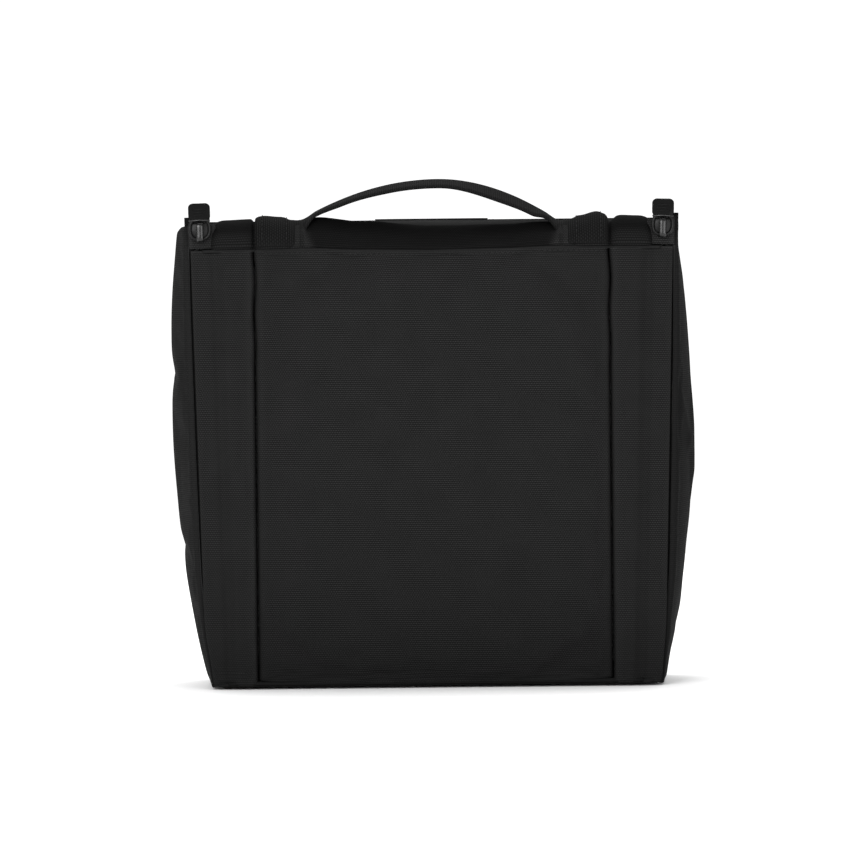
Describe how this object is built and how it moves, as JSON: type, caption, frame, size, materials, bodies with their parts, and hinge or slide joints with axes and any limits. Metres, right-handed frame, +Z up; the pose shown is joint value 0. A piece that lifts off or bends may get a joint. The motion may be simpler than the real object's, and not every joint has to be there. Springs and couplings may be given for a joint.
{
  "type": "hanging toiletry bag",
  "caption": "Soft toiletry bag with a drop-down padded front, side zips, a webbing grab handle and a swivel hook that pushes up through the top for hanging.",
  "frame": {"origin": "under the middle of the base, on the surface that the bag stands on", "axes": "+Z up, -Y out of the front with the zips and handle, +X to the viewer's right when facing the front"},
  "size_m": [0.2591, 0.0942, 0.2555],
  "materials": {
    "shell_fabric": "matte ribbed plain weave",
    "stiffener": "matte sheet",
    "lining": "fine taffeta weave",
    "hook_and_loop": "hook-and-loop pile",
    "moulded_plastic": "satin moulded",
    "zip_tape": "herringbone tape",
    "zip_coil": "satin nylon coil",
    "black_metal": "black paint, worn edges",
    "bright_steel": "polished",
    "puller_rubber": "matte moulded",
    "webbing": "ribbed webbing",
    "binding": "folded binding tape",
    "elastic": "ribbed elastic",
    "mesh": "open mesh"
  },
  "bodies": {
    "shell": {"back_panel": "shell_fabric", "back_board": "stiffener", "back_lining": "lining", "left_gusset": "shell_fabric", "right_gusset": "shell_fabric", "bottom_gusset": "shell_fabric", "base_board": "stiffener", "top_panel": "shell_fabric", "top_band": "shell_fabric", "closure_tongue": "shell_fabric", "closure_hooks": "hook_and_loop", "slot_frame": "moulded_plastic", "left_outer_tape": "zip_tape", "right_outer_tape": "zip_tape", "left_outer_coil": "zip_coil", "right_outer_coil": "zip_coil", "zip_top_stops": "black_metal", "zip_bottom_stops": "black_metal", "left_handle_end": "webbing", "right_handle_end": "webbing", "back_binding": "binding", "bottle_elastic": "elastic"},
    "lid": {"centre_panel": "shell_fabric", "left_strip": "shell_fabric", "right_strip": "shell_fabric", "lid_hem": "binding", "lid_board": "stiffener", "lid_lining": "lining", "left_inner_tape": "zip_tape", "right_inner_tape": "zip_tape", "left_inner_coil": "zip_coil", "right_inner_coil": "zip_coil", "closure_loops": "hook_and_loop", "mesh_pocket": "mesh", "pocket_tape": "zip_tape", "pocket_coil": "zip_coil", "pocket_stops": "black_metal", "hinge_tape": "shell_fabric"},
    "left_slider": {"left_slider": "black_metal", "left_bridge": "bright_steel"},
    "left_puller": {"left_puller": "puller_rubber"},
    "right_slider": {"right_slider": "black_metal", "right_bridge": "bright_steel"},
    "right_puller": {"right_puller": "puller_rubber"},
    "pocket_slider": {"pocket_slider": "black_metal", "pocket_bridge": "bright_steel"},
    "pocket_puller": {"pocket_puller": "puller_rubber"},
    "handle": {"handle_webbing": "webbing"},
    "hook_carrier": {"hook_carrier": "moulded_plastic", "hook_pin": "bright_steel"},
    "hook": {"hook": "moulded_plastic"}
  },
  "joints": [
    {"name": "lid_drop", "type": "hinge", "parent": "shell", "child": "lid", "pos_m": [0, -0.046, 0.0005], "axis": [1, 0, 0], "range_deg": [0, 180]},
    {"name": "left_zip", "type": "slide", "parent": "shell", "child": "left_slider", "axis": [0.0262, 0, -0.9997], "range_m": [0, 0.196]},
    {"name": "left_puller_swing", "type": "hinge", "parent": "left_slider", "child": "left_puller", "pos_m": [-0.11671, -0.0444, 0.226], "axis": [0.9997, 0, 0.0262], "range_deg": [0, 165]},
    {"name": "right_zip", "type": "slide", "parent": "shell", "child": "right_slider", "axis": [-0.0262, 0, -0.9997], "range_m": [0, 0.196]},
    {"name": "right_puller_swing", "type": "hinge", "parent": "right_slider", "child": "right_puller", "pos_m": [0.11671, -0.0444, 0.226], "axis": [0.9997, 0, -0.0262], "range_deg": [0, 165]},
    {"name": "pocket_zip", "type": "slide", "parent": "lid", "child": "pocket_slider", "axis": [1, 0, 0], "range_m": [0, 0.162]},
    {"name": "pocket_puller_swing", "type": "hinge", "parent": "pocket_slider", "child": "pocket_puller", "pos_m": [-0.0783, -0.03112, 0.172], "axis": [0, 0, -1], "range_deg": [0, 165]},
    {"name": "handle_tilt", "type": "hinge", "parent": "shell", "child": "handle", "pos_m": [0, -0.031, 0.234], "axis": [1, 0, 0], "range_deg": [-35, 35]},
    {"name": "hook_raise", "type": "slide", "parent": "shell", "child": "hook_carrier", "axis": [0, 0, 1], "range_m": [0, 0.0565]},
    {"name": "hook_swivel", "type": "hinge", "parent": "hook_carrier", "child": "hook", "pos_m": [0, 0.012, 0.173], "axis": [0, 0, 1], "continuous": true}
  ]
}
